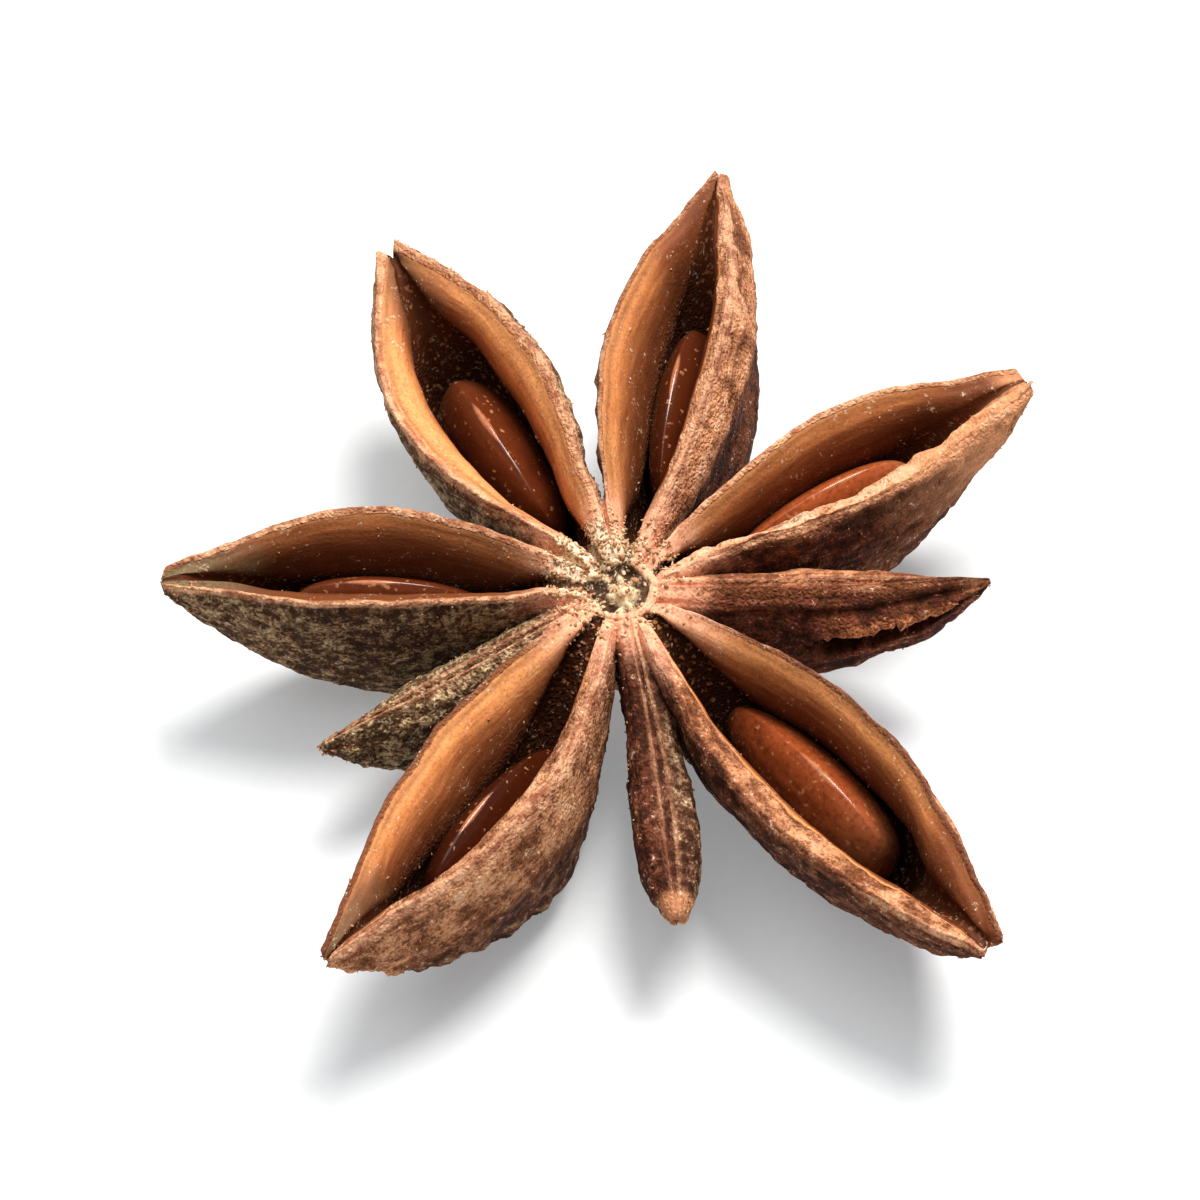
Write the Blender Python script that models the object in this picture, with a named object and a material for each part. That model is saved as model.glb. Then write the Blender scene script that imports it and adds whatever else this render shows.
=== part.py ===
"""Star anise pod: nine boat-shaped carpels around a short column, six of them split open over a seed.

Run with: blender --background --python part.py
Units are metres, +Z is up. The pod lies as it rests on a table, mouths up, with z = 0 at the table. The
origin is under the middle of the pod's bounding box. The husk is one solid, "pod"; each seed that shows is a
solid of its own.
"""

import math
from dataclasses import dataclass

import bmesh
import bpy
from mathutils import Matrix

MM = 0.001

# The column that carries the carpels
HUB_X, HUB_Y = 0.78 * MM, -1.23 * MM
LIP_HEIGHT = 6.9 * MM  # the lips at the column, over the table
HUB_RADIUS = 1.3 * MM
HUB_DIP = 0.35 * MM  # the disc lies this far under the lips
HUB_FOOT = 4.9 * MM  # the scar of the stalk lies this far under the lips
SCAR_RADIUS = 1.25 * MM

# What all carpels share
CARPEL_START = 1.1 * MM  # the carpels' inner ends, inside the column
STEM_HALF_WIDTH = 0.62 * MM  # a carpel's half width at the column
STEM_DEPTH = 5.0 * MM  # its depth there
KEEL_LOW_AT = 0.43  # the share of the length where the keel is lowest
FLAT = 0.15 * MM  # how much the table takes off a keel that rests on it
RIM_LEAST = 0.5 * MM  # how wide a lip is where the mouth is shut
RIM_SHARE = 0.42  # how much of the mouth's half width a lip adds to that
SHUT_NECK = 0.1 * MM  # half width of the mouth where the lips meet
SLIT_DEPTH = 0.35 * MM  # depth of the mouth there
NECK_SHARE = 0.25  # the seed's chamber starts at this share of the hollow's depth
FLOOR_THICKNESS = 0.75 * MM
UNDERCUT = 0.5 * MM  # how far the seed's chamber reaches behind the lips
SEAM_SHARE, SEAM_DEPTH = 0.35, 0.15 * MM  # the furrow along a carpel that stayed shut
KNUCKLE = 0.04  # a lip rounds off over this share of its length at the column

# How finely the solids are cut
STATIONS = 16
OUTER_STEPS = 6
RIM_STEPS = 3
CHAMBER_STEPS = 4
HUB_STEPS = 24
SEED_SEGMENTS, SEED_RINGS = 16, 10


@dataclass(frozen=True)
class Seed:
    """A flat seed on its edge. Sizes are in mm, and at is its middle's share of the carpel's length."""

    length: float
    height: float
    thickness: float
    at: float = 0.45
    top: float = 1.6  # from the lips down to its upper edge
    aside: float = 0.0  # how far it lies to the left of the mouth's middle
    lean: float = 0.0  # degrees to the left


@dataclass(frozen=True)
class Carpel:
    """One boat of the star. Sizes are in mm, angles in degrees, left and right as seen from the column."""

    name: str
    heading: float
    reach: float  # from the column's axis to the tip
    half_width: float
    widest_at: float  # its share of the length
    roll: float  # turns the mouth to the left
    bend: float  # how far the middle bows to the left
    arch: float  # how far the middle bows up
    rise: float  # the tip over the lips at the column
    tip: float  # half width of the blunt tip
    beak: float  # its depth
    belly: float  # how far the wall swells past the lip
    depth: float = 0.0  # lips to keel, or 0 where the keel rests on the table
    seed: Seed = None


CARPELS = (
    Carpel("east", 1.4, 13.0, 0.85, 0.5, 0, 0.1, -0.3, 0.0, 0.15, 0.35, 0.3, 5.3),
    Carpel("northeast", 30.0, 16.6, 2.2, 0.57, 0, 0.25, 0.6, 0.8, 0.35, 0.7, 0.3,
           seed=Seed(7.4, 4.2, 2.0, at=0.48, top=1.3)),
    Carpel("north", 78.6, 18.3, 2.35, 0.54, 15, 0.45, 0.6, 0.6, 0.25, 1.2, 0.35,
           seed=Seed(7.4, 4.2, 2.1, at=0.47)),
    Carpel("northwest", 120.3, 16.9, 2.85, 0.56, 12, 0.7, 0.6, 0.4, 0.4, 0.7, 0.3,
           seed=Seed(7.4, 4.3, 2.5, at=0.46)),
    Carpel("west", 179.4, 16.1, 2.2, 0.53, 0, -0.6, 0.7, 0.2, 0.42, 0.7, 0.25,
           seed=Seed(7.4, 4.2, 2.1, at=0.47)),
    Carpel("west_southwest", 207.5, 11.8, 0.8, 0.6, 0, 0.0, -0.6, -1.8, 0.3, 0.7, 0.4, 5.0),
    Carpel("southwest", 236.6, 18.4, 2.6, 0.5, -10, 0.5, 0.6, 0.0, 0.3, 0.5, 0.35,
           seed=Seed(7.8, 4.3, 2.3, at=0.49, aside=-0.15)),
    Carpel("south", 278.6, 12.7, 1.1, 0.72, 0, 0.25, -0.4, -1.5, 0.5, 0.8, 0.25, 4.6),
    Carpel("southeast", 310.2, 19.8, 2.75, 0.5, -14, -0.1, 0.6, 0.0, 0.55, 0.5, 0.3,
           seed=Seed(8.4, 4.6, 2.5, at=0.44, lean=8)),
)


def smooth(x):
    """0 to 1 with flat ends, for x from 0 to 1."""
    x = min(max(x, 0.0), 1.0)
    return x * x * (3 - 2 * x)


def leaf(t, widest_at):
    """The outline of a mouth: 0 at both ends and 1 at its widest."""
    power = math.log(0.5) / math.log(widest_at)
    return max(0.0, math.sin(math.pi * min(t, 1.0) ** power)) ** 1.05


def roll_at(carpel, t):
    """A carpel is upright at the column and turns over its inner half."""
    return -math.radians(carpel.roll) * smooth(t / 0.45)


def crest(carpel, t):
    """The height of the lips' middle over the lips at the column."""
    knuckle = HUB_DIP * (1 - smooth(t / KNUCKLE))
    return carpel.arch * MM * math.sin(math.pi * t) + carpel.rise * MM * t * t - knuckle


def deepest(carpel):
    """Lips to keel at the lowest place."""
    if carpel.depth:
        return carpel.depth * MM
    return (LIP_HEIGHT + crest(carpel, KEEL_LOW_AT) + FLAT) / math.cos(roll_at(carpel, KEEL_LOW_AT))


def keel_depth(carpel, t):
    """How deep the keel lies under the lips."""
    most = deepest(carpel)
    if t < KEEL_LOW_AT:
        return most - (most - min(STEM_DEPTH, most)) * ((KEEL_LOW_AT - t) / KEEL_LOW_AT) ** 2
    past = (t - KEEL_LOW_AT) / (1 - KEEL_LOW_AT)
    beak = carpel.beak * MM
    return beak + (most - beak) * max(0.0, 1 - past**1.9) ** 0.9


def half_width(carpel, t):
    """From the middle to the outer edge of a lip."""
    ends = STEM_HALF_WIDTH + (carpel.tip * MM - STEM_HALF_WIDTH) * smooth((t - 0.55) / 0.45)
    return ends + (carpel.half_width * MM - STEM_HALF_WIDTH) * leaf(t, carpel.widest_at)


def outer_wall(carpel, side, t, share):
    """A point of the outer wall, (sideways, up) from the lips' middle: share 0 is the lip, 1 the keel."""
    angle = share * math.pi / 2
    belly = carpel.belly * MM * leaf(t, carpel.widest_at) ** 0.7
    width = half_width(carpel, t) * max(0.0, math.cos(angle)) ** 0.9 + belly * math.sin(2 * angle)
    return side * width, -keel_depth(carpel, t) * math.sin(angle) ** 1.1


def mouth_side(carpel, side, t):
    """The inside of one half of an open carpel: the lip's rounded band, then the seed's chamber."""
    width = half_width(carpel, t)
    rim = min(RIM_LEAST + RIM_SHARE * max(0.0, width - STEM_HALF_WIDTH), width - SHUT_NECK)
    neck, depth = width - rim, hollow_depth(carpel, t)
    band = NECK_SHARE * depth
    points = []
    for k in range(1, RIM_STEPS + 1):
        angle = k / RIM_STEPS * math.pi / 2
        points.append((side * (neck + rim * (1 - math.sin(angle))), -band * (1 - math.cos(angle))))
    swell = neck + UNDERCUT * math.sqrt(leaf(t, carpel.widest_at))
    for k in range(1, CHAMBER_STEPS):
        angle = k / CHAMBER_STEPS * math.pi / 2
        points.append((side * swell * math.cos(angle) ** 0.7, -band - (depth - band) * math.sin(angle)))
    return points


def hollow_depth(carpel, t):
    """Lips to the floor of the seed's chamber, which is a shallow slit at both ends of the mouth."""
    full = keel_depth(carpel, t) - FLOOR_THICKNESS
    return SLIT_DEPTH + (full - SLIT_DEPTH) * smooth(t / 0.3) * smooth((1 - t) / 0.22)


def section(carpel, t):
    """The outline across the carpel at t, as (sideways, up) points, from the keel round by the left."""
    shares = [k / OUTER_STEPS for k in range(OUTER_STEPS + 1)]
    outer = {side: [outer_wall(carpel, side, t, share) for share in shares] for side in (1, -1)}
    if carpel.seed:
        inner = {side: mouth_side(carpel, side, t) for side in (1, -1)}
        bottom = (0.0, -hollow_depth(carpel, t))
    else:
        inner = {side: [(side * SEAM_SHARE * half_width(carpel, t), 0.0)] for side in (1, -1)}
        bottom = (0.0, -SEAM_DEPTH)
    return outer[1][::-1] + inner[1] + [bottom] + inner[-1][::-1] + outer[-1][:-1]


def section_points(carpel, t):
    """The section at t in the carpel's own frame: x outwards from the column, y to the left, z up."""
    x = CARPEL_START + (carpel.reach * MM - CARPEL_START) * t
    y = carpel.bend * MM * math.sin(math.pi * t)
    z = crest(carpel, t)
    turn = roll_at(carpel, t)
    cosine, sine = math.cos(turn), math.sin(turn)
    return [(x, y + across * cosine - up * sine, z + across * sine + up * cosine)
            for across, up in section(carpel, t)]


def station_share(k):
    """The stations lie closer together towards both ends of a carpel."""
    return 0.5 - 0.5 * math.cos(math.pi * k / (STATIONS - 1))


def loft(name, sections):
    """A closed mesh through sections that have the same number of points."""
    mesh = bmesh.new()
    rings = [[mesh.verts.new(point) for point in points] for points in sections]
    count = len(rings[0])
    for near, far in zip(rings, rings[1:]):
        for k in range(count):
            after = (k + 1) % count
            mesh.faces.new((near[k], near[after], far[after], far[k]))
    mesh.faces.new(rings[0][::-1])
    mesh.faces.new(rings[-1])
    return finished(name, mesh)


def finished(name, mesh):
    """The bmesh as mesh data, its faces turned outwards."""
    mesh.normal_update()
    bmesh.ops.recalc_face_normals(mesh, faces=mesh.faces)
    data = bpy.data.meshes.new(name)
    mesh.to_mesh(data)
    mesh.free()
    return data


def hub_mesh():
    """The column: a shallow dished disc on top, and the scar of the stalk underneath."""
    top, foot = -HUB_DIP, -HUB_FOOT
    profile = [
        (0.0, top + 0.2 * MM), (0.3 * MM, top + 0.15 * MM), (0.55 * MM, top), (1.0 * MM, top),
        (HUB_RADIUS, top + 0.1 * MM), (HUB_RADIUS, top - 1.2 * MM), (SCAR_RADIUS + 0.2 * MM, foot + 0.5 * MM),
        (SCAR_RADIUS, foot), (SCAR_RADIUS - 0.35 * MM, foot), (0.0, foot + 0.3 * MM),
    ]
    mesh = bmesh.new()
    line = [mesh.verts.new((radius, 0, height)) for radius, height in profile]
    edges = [mesh.edges.new(pair) for pair in zip(line, line[1:])]
    bmesh.ops.spin(mesh, geom=line + edges, cent=(0, 0, 0), axis=(0, 0, 1), angle=2 * math.pi,
                   steps=HUB_STEPS)
    bmesh.ops.remove_doubles(mesh, verts=mesh.verts, dist=0.001 * MM)
    return finished("hub", mesh)


def seed_mesh(seed):
    """A flat bean, blunter at its outer end, with a ridge along its upper edge."""
    mesh = bmesh.new()
    bmesh.ops.create_uvsphere(mesh, u_segments=SEED_SEGMENTS, v_segments=SEED_RINGS, radius=0.5)
    for vertex in mesh.verts:
        # The sphere's poles become the seed's two ends.
        along, across, up = vertex.co.z, vertex.co.x, vertex.co.y
        full = 1 + 0.3 * along
        ridge = 1 - 0.35 * max(0.0, 2 * up) ** 2
        vertex.co = (seed.length * along * MM, seed.thickness * across * full * ridge * MM,
                     seed.height * up * full * MM)
    data = finished("seed", mesh)
    data.shade_smooth()
    return data


def placed(carpel):
    """The matrix from the carpel's frame to the pod's."""
    turn = Matrix.Rotation(math.radians(carpel.heading), 4, "Z")
    return Matrix.Translation((HUB_X, HUB_Y, LIP_HEIGHT)) @ turn


def seed_matrix(carpel):
    """Where a seed lies: on the mouth's middle line, turned with the carpel, then lowered and leant."""
    seed = carpel.seed
    x = CARPEL_START + (carpel.reach * MM - CARPEL_START) * seed.at
    y = carpel.bend * MM * math.sin(math.pi * seed.at)
    mouth = Matrix.Translation((x, y, crest(carpel, seed.at)))
    mouth = mouth @ Matrix.Rotation(roll_at(carpel, seed.at), 4, "X")
    middle = Matrix.Translation((0, seed.aside * MM, -(seed.top + seed.height / 2) * MM))
    return placed(carpel) @ mouth @ middle @ Matrix.Rotation(-math.radians(seed.lean), 4, "X")


def material(name, colour, roughness):
    made = bpy.data.materials.new(name)
    made.use_nodes = True
    shader = made.node_tree.nodes["Principled BSDF"]
    shader.inputs["Base Color"].default_value = (*colour, 1)
    shader.inputs["Roughness"].default_value = roughness
    return made


def add_object(name, data, into, matrix):
    made = bpy.data.objects.new(name, data)
    into.objects.link(made)
    made.matrix_world = matrix
    return made


def add_helper(name, data, into, matrix):
    made = add_object(name, data, into, matrix)
    made.hide_render = True
    made.display_type = "WIRE"
    return made


def table_mesh(size):
    mesh = bmesh.new()
    bmesh.ops.create_cube(mesh, size=size)
    return finished("table", mesh)


def build_pod(into, helpers, husk):
    """The husk: the column joined with the nine carpels, and cut flat where it rests on the table."""
    carpels = bpy.data.collections.new("carpels")
    helpers.children.link(carpels)
    for carpel in CARPELS:
        sections = [section_points(carpel, station_share(k)) for k in range(STATIONS)]
        add_helper("carpel_" + carpel.name, loft(carpel.name, sections), carpels, placed(carpel))
    table_size = 60 * MM
    under_table = Matrix.Translation((0, 0, -table_size / 2))
    table = add_helper("table_cut", table_mesh(table_size), helpers, under_table)

    pod = add_object("pod", hub_mesh(), into, Matrix.Translation((HUB_X, HUB_Y, LIP_HEIGHT)))
    pod.data.materials.append(husk)
    join = pod.modifiers.new("join carpels", "BOOLEAN")
    join.operation = "UNION"
    join.operand_type = "COLLECTION"
    join.collection = carpels
    cut = pod.modifiers.new("flat on the table", "BOOLEAN")
    cut.operation = "DIFFERENCE"
    cut.object = table


def build():
    for old in list(bpy.data.objects):
        bpy.data.objects.remove(old)
    star_anise = bpy.data.collections.new("star_anise")
    helpers = bpy.data.collections.new("helpers")
    for made in (star_anise, helpers):
        bpy.context.scene.collection.children.link(made)
    build_pod(star_anise, helpers, material("husk", (0.2, 0.09, 0.045), 0.8))
    shell = material("seed", (0.16, 0.045, 0.018), 0.2)
    for carpel in CARPELS:
        if carpel.seed:
            data = seed_mesh(carpel.seed)
            data.materials.append(shell)
            add_object("seed_" + carpel.name, data, star_anise, seed_matrix(carpel))


build()
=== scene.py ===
"""Star anise pod, dressed for the render: one dry husk of nine carpels, six of them open over a glossy seed.

The husk repeats the solids' own carpels at a fine pitch, joins them into one skin, and adds what the solids
leave out: raised lip edges, wrinkles, lumps, sutures, the torn wall of the east carpel, crumbs. Shapes are
worked out in millimetres, +Z up, z = 0 at the table, and become metres when a mesh is made.
"""

import math
from dataclasses import dataclass

import bmesh
import bpy
import numpy as np
from mathutils import Euler, Matrix, Vector, kdtree, noise


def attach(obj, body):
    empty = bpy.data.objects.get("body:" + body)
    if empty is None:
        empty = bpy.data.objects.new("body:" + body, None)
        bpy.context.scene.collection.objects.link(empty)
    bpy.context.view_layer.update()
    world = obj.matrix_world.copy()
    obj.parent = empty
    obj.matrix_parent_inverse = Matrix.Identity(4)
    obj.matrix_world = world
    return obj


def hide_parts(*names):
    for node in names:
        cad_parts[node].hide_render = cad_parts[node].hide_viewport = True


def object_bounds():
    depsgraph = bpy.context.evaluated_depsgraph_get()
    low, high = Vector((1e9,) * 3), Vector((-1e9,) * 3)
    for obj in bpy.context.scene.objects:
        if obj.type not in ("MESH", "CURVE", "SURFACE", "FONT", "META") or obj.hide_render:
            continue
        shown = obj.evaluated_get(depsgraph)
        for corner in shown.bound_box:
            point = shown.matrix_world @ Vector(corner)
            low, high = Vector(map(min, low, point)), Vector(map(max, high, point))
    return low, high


MM = 0.001

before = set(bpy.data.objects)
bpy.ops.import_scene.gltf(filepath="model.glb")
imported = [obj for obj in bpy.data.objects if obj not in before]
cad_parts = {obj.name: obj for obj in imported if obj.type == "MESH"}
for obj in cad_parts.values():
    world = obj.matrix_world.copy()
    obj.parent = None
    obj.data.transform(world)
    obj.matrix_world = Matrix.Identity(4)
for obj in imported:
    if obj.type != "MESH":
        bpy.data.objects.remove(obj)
CAD_BOX = [list(corner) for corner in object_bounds()]

# ---------------------------------------------------------------- the solids' own sizes, in mm and degrees

HUB = (0.78, -1.23)
LIP_HEIGHT = 6.9
HUB_RADIUS = 1.3
HUB_DIP = 0.35
HUB_FOOT = 4.9
SCAR_RADIUS = 1.25
CARPEL_START = 1.1
STEM_HALF_WIDTH = 0.62
STEM_DEPTH = 5.0
KEEL_LOW_AT = 0.43
FLAT = 0.15
RIM_LEAST = 0.5
RIM_SHARE = 0.42
SLIT_DEPTH = 0.35
FLOOR_THICKNESS = 0.75
UNDERCUT = 0.5
KNUCKLE = 0.04


@dataclass(frozen=True)
class Seed:
    """A flat seed on its edge. at is its middle's share of the carpel's length."""

    length: float
    height: float
    thickness: float
    at: float = 0.45
    top: float = 1.6  # from the lips down to its upper edge
    aside: float = 0.0  # how far it lies to the left of the mouth's middle
    lean: float = 0.0  # degrees to the left
    dark: float = 0.0  # how dark its coat is: partly its own colour, partly painted shade where it lies deep


@dataclass(frozen=True)
class Looks:
    """What only the render shows. Shares run from 0 to 1, sizes are in mm."""

    edge: tuple = (0.16, 0.16)  # width of the rough edge of the left and the right lip
    rust: tuple = (0.0, 0.0)  # how dark and red that edge is
    lip: tuple = (0.8, 0.8)  # how far down the rounded lip reaches, left and right
    stand: tuple = (0.05, 0.05)  # how far it stands out from the wall under it
    foot: tuple = (0.25, 0.25)  # share of the hollow's depth that the left and the right band reach
    cap: tuple = (0.0, 0.0)  # share of the left and the right band that the wall's rough skin covers
    shade: tuple = (0.0, 0.0)  # how far in from the edge such a band is as dark as the wall under it
    notch: float = 0.0  # how far the tip is split
    gape: float = 0.1  # half width of the mouth at the tip
    blunt: float = 0.0  # how much wider the tip is
    green: tuple = (0.1, 0.1)  # grey-green bloom on the left and the right wall
    bloom: float = 0.0  # the same inside the mouth, near the tip
    dark: tuple = (0.0, 0.0)  # painted shade on the left and the right band, with some brown of its own; under 0, a painted golden highlight
    light: float = 0.0  # painted light on the outer wall's beam, with some paler tone of its own; under 0, painted shade on the wall
    pale_tip: tuple = (0.0, 0.92)  # how pale the tip is, and from which share of the length
    lumps: float = 0.0  # height of the lumps along the keel
    wrinkles: float = 0.1  # height of the wrinkles on the wall
    ladder: tuple = (0.0, 0.0)  # height of the folds across the left and the right lip


@dataclass(frozen=True)
class Carpel:
    """One boat of the star, left and right as seen from the column."""

    name: str
    heading: float
    reach: float  # from the column's axis to the tip
    half_width: float
    widest_at: float  # its share of the length
    roll: float  # turns the mouth to the left
    bend: float  # how far the middle bows to the left
    arch: float  # how far the middle bows up
    rise: float  # the tip over the lips at the column
    tip: float  # half width of the blunt tip
    beak: float  # its depth
    belly: float  # how far the wall swells past the lip
    depth: float = 0.0  # lips to keel, or 0 where the keel rests on the table
    seed: Seed = None
    looks: Looks = Looks()


CARPELS = (
    Carpel("east", 1.4, 13.0, 0.85, 0.5, 0, 0.1, -0.3, 0.0, 0.15, 0.35, 0.3, 5.3,
           looks=Looks(rust=(0.4, 1.0), lip=(0.9, 0.3), green=(0.1, 0.05), light=0.25, wrinkles=0.09)),
    Carpel("northeast", 30.0, 16.6, 2.2, 0.57, 0, 0.25, 0.6, 0.8, 0.35, 0.7, 0.3,
           seed=Seed(7.4, 4.2, 2.0, at=0.48, top=1.3),
           looks=Looks(edge=(0.17, 0.1), lip=(0.6, 0.15), foot=(0.38, 0.2), cap=(0.0, 0.7), shade=(0.0, 0.1),
                       gape=0.03, blunt=0.3, green=(0.2, 0.3), dark=(0.3, 0.3), light=1.3, pale_tip=(0.95, 0.4),
                       wrinkles=0.2, ladder=(0.0, 0.08))),
    Carpel("north", 78.6, 18.3, 2.35, 0.54, 15, 0.45, 0.6, 0.6, 0.25, 1.2, 0.35,
           seed=Seed(7.4, 4.2, 2.1, at=0.47, dark=0.9),
           looks=Looks(edge=(0.12, 0.2), rust=(0.5, 0.1), lip=(0.6, 1.7), stand=(0.1, 0.2), foot=(0.42, 0.2),
                       cap=(0.0, 0.4), dark=(0.25, 1.0), notch=0.35, green=(0.75, 0.15), light=0.7,
                       pale_tip=(0.3, 0.8), wrinkles=0.12)),
    Carpel("northwest", 120.3, 16.9, 2.85, 0.56, 12, 0.7, 0.6, 0.4, 0.4, 0.7, 0.3,
           seed=Seed(7.4, 4.3, 2.5, at=0.46, dark=0.8),
           looks=Looks(edge=(0.24, 0.26), stand=(0.12, 0.2), foot=(0.3, 0.34), notch=0.6, gape=0.22, blunt=0.1,
                       green=(0.7, 0.8), bloom=0.3, dark=(-1.3, -0.8), light=0.3, wrinkles=0.1)),
    Carpel("west", 179.4, 16.1, 2.2, 0.53, 0, -0.6, 0.7, 0.2, 0.42, 0.7, 0.25,
           seed=Seed(7.4, 4.2, 2.1, at=0.47, dark=0.75),
           looks=Looks(edge=(0.13, 0.2), lip=(0.12, 0.8), stand=(0.04, 0.1), foot=(0.2, 0.4), cap=(0.12, 0.0),
                       gape=0.03, blunt=0.15, green=(0.62, 0.5), bloom=0.9, dark=(1.0, 0.5), light=0.2,
                       wrinkles=0.08)),
    Carpel("west_southwest", 207.5, 11.8, 0.8, 0.6, 0, 0.0, -0.6, -1.8, 0.3, 0.7, 0.4, 5.0,
           looks=Looks(green=(0.95, 0.85), light=-0.3, wrinkles=0.12)),
    Carpel("southwest", 236.6, 18.4, 2.6, 0.5, -10, 0.5, 0.6, 0.0, 0.3, 0.5, 0.35,
           seed=Seed(7.8, 4.3, 2.3, at=0.49, aside=-0.15, dark=1.0),
           looks=Looks(edge=(0.3, 0.15), rust=(0.1, 1.0), lip=(2.5, 0.6), stand=(0.15, 0.05), foot=(0.2, 0.4),
                       cap=(0.8, 0.0), blunt=0.1, green=(0.42, 0.3), bloom=0.5, light=0.7, lumps=0.28,
                       wrinkles=0.08)),
    Carpel("south", 278.6, 12.7, 1.1, 0.72, 0, 0.25, -0.4, -1.5, 0.5, 0.8, 0.25, 4.6,
           looks=Looks(rust=(0.4, 0.4), lip=(0.3, 0.3), green=(0.5, 0.3), light=-1.7, pale_tip=(1.0, 0.93),
                       lumps=0.15, wrinkles=0.1)),
    Carpel("southeast", 310.2, 19.8, 2.75, 0.5, -14, -0.1, 0.6, 0.0, 0.55, 0.5, 0.3,
           seed=Seed(8.4, 4.6, 2.5, at=0.44, lean=8, dark=0.12),
           looks=Looks(edge=(0.12, 0.1), rust=(0.9, 0.0), lip=(0.6, 0.15), foot=(0.4, 0.2), cap=(0.0, 0.6),
                       shade=(0.0, 0.16), dark=(0.2, 0.0), notch=0.7, gape=0.34, green=(0.2, 0.35), light=0.55,
                       lumps=0.2, wrinkles=0.1, ladder=(0.0, 0.04))),
)

# ---------------------------------------------------------------- how finely the skin is cut

OPEN_STATIONS, SHUT_STATIONS = 104, 84
OUTER_STEPS = 30
BAND_STEPS = (0.02, 0.05, 0.085, 0.125, 0.18, 0.26, 0.36, 0.47, 0.58, 0.69, 0.8, 0.9, 1.0)
CHAMBER_STEPS = 13
TOP_STEPS = 9
TIP_STEPS = 3
HUB_SEGMENTS, HUB_RINGS = 80, 26
CRUMBS, CRUMB_SEED = 3400, 11
NEAR_CRUMB, FAR_CRUMB = (0.035, 0.1), (0.025, 0.06)  # radii near the column and elsewhere
BOSS = (0.15, -0.12)  # the small boss on the column's top, from the column's middle
DUST_HEADING = 140.0
TORN_FLAP = 0.6  # how far the torn wall hangs under the keel's own line

# ---------------------------------------------------------------- the shape of a carpel


def smooth(x):
    """0 to 1 with flat ends, for x from 0 to 1."""
    x = np.clip(x, 0.0, 1.0)
    return x * x * (3 - 2 * x)


def leaf(t, widest_at):
    """The outline of a mouth: 0 at both ends and 1 at its widest."""
    power = math.log(0.5) / math.log(widest_at)
    return max(0.0, math.sin(math.pi * min(t, 1.0) ** power)) ** 1.05


def roll_at(carpel, t):
    """A carpel is upright at the column and turns over its inner half."""
    return -math.radians(carpel.roll) * smooth(t / 0.45)


def crest(carpel, t):
    """The height of the lips' middle over the lips at the column."""
    return carpel.arch * math.sin(math.pi * t) + carpel.rise * t * t - HUB_DIP * (1 - smooth(t / KNUCKLE))


def deepest(carpel):
    """Lips to keel at the lowest place."""
    if carpel.depth:
        return carpel.depth
    return (LIP_HEIGHT + crest(carpel, KEEL_LOW_AT) + FLAT) / math.cos(roll_at(carpel, KEEL_LOW_AT))


def keel_depth(carpel, t):
    """How deep the keel lies under the lips."""
    most = deepest(carpel)
    if t < KEEL_LOW_AT:
        return most - (most - min(STEM_DEPTH, most)) * ((KEEL_LOW_AT - t) / KEEL_LOW_AT) ** 2
    past = (t - KEEL_LOW_AT) / (1 - KEEL_LOW_AT)
    return carpel.beak + (most - carpel.beak) * max(0.0, 1 - past**1.9) ** 0.9


def half_width(carpel, t):
    """From the middle to the outer edge of a lip."""
    ends = STEM_HALF_WIDTH + (carpel.tip - STEM_HALF_WIDTH) * smooth((t - 0.55) / 0.45)
    return ends + (carpel.half_width - STEM_HALF_WIDTH) * leaf(t, carpel.widest_at)


def past_seed(carpel, t):
    """0 beside the seed, 1 where the mouth is only a scoop between the seed and the tip."""
    end = carpel.seed.at + carpel.seed.length / 2 / (carpel.reach - CARPEL_START)
    return smooth((t - end - 0.01) / 0.13)


def hollow_depth(carpel, t):
    """Lips to the floor of the seed's chamber, which is a shallow slit at both ends of the mouth."""
    full = keel_depth(carpel, t) - FLOOR_THICKNESS
    full *= 1 - 0.45 * past_seed(carpel, t)
    return SLIT_DEPTH + (full - SLIT_DEPTH) * smooth(t / 0.3) * smooth((1 - t) / 0.22)


def bell(x, middle, reach):
    """1 in the middle, falling to 0 on both sides."""
    return np.exp(-(((x - middle) / reach) ** 2))


def ripple(place, seed):
    """A wandering number from -1 to 1 along a line."""
    return noise.noise(Vector((place, seed * 7.31, 3.7)))


# What the skin's points carry for the materials and the relief. inside runs from 0 at the lip over the band
# (1 at its foot) to 2 on the chamber's floor; outside runs from 0 at the lip to 1 at the keel; down is in mm
# from the lip; the darkening field is 1 on the wall under the rounded lip, where it is painted shade and partly
# the wall's own darker brown, and it also paints shade in the east carpel's furrow and on its sunk shoulder.
FIELDS = ("made", "inside", "outside", "down", "below", "along", "near_edge", "crease", "scoop", "green",
          "bloom", "dark", "light", "lumps", "wrinkles", "ladder", "torn", "suture", "rust", "pale", "hub")
# How far the crest of a thin lip and of a beam stands in from the wall's widest place.
THIN_ROUND, BEAM_ROUND = 0.07, 0.16


class Section:
    """The outline across a carpel: points from the keel round by the left, with their fields."""

    def __init__(self, carpel, t):
        self.carpel = carpel
        self.t = t
        self.across, self.up, self.fields = [], [], []

    def add(self, across, up, **fields):
        looks = self.carpel.looks
        side = 0 if across > 0 else 1
        # Of two lips the nearer, a beam, is the paler at its tip.
        paled = looks.pale_tip[0] * (1.0 if looks.cap[side] or not max(looks.cap) else 0.15)
        lag = 0.07 * fields.get("down", 0.0) if looks.cap[side] else 0.0
        row = {
            "made": 1.0, "along": self.t, "green": looks.green[side], "bloom": looks.bloom,
            "light": looks.light, "lumps": looks.lumps, "wrinkles": looks.wrinkles,
            "ladder": looks.ladder[side], "rust": looks.rust[side],
            "pale": paled * smooth(1.6 * (self.t - lag - looks.pale_tip[1]) / (0.99 - looks.pale_tip[1])),
        }
        row.update(fields)
        self.across.append(across)
        self.up.append(up)
        self.fields.append([row.get(name, 0.0) for name in FIELDS])


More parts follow.
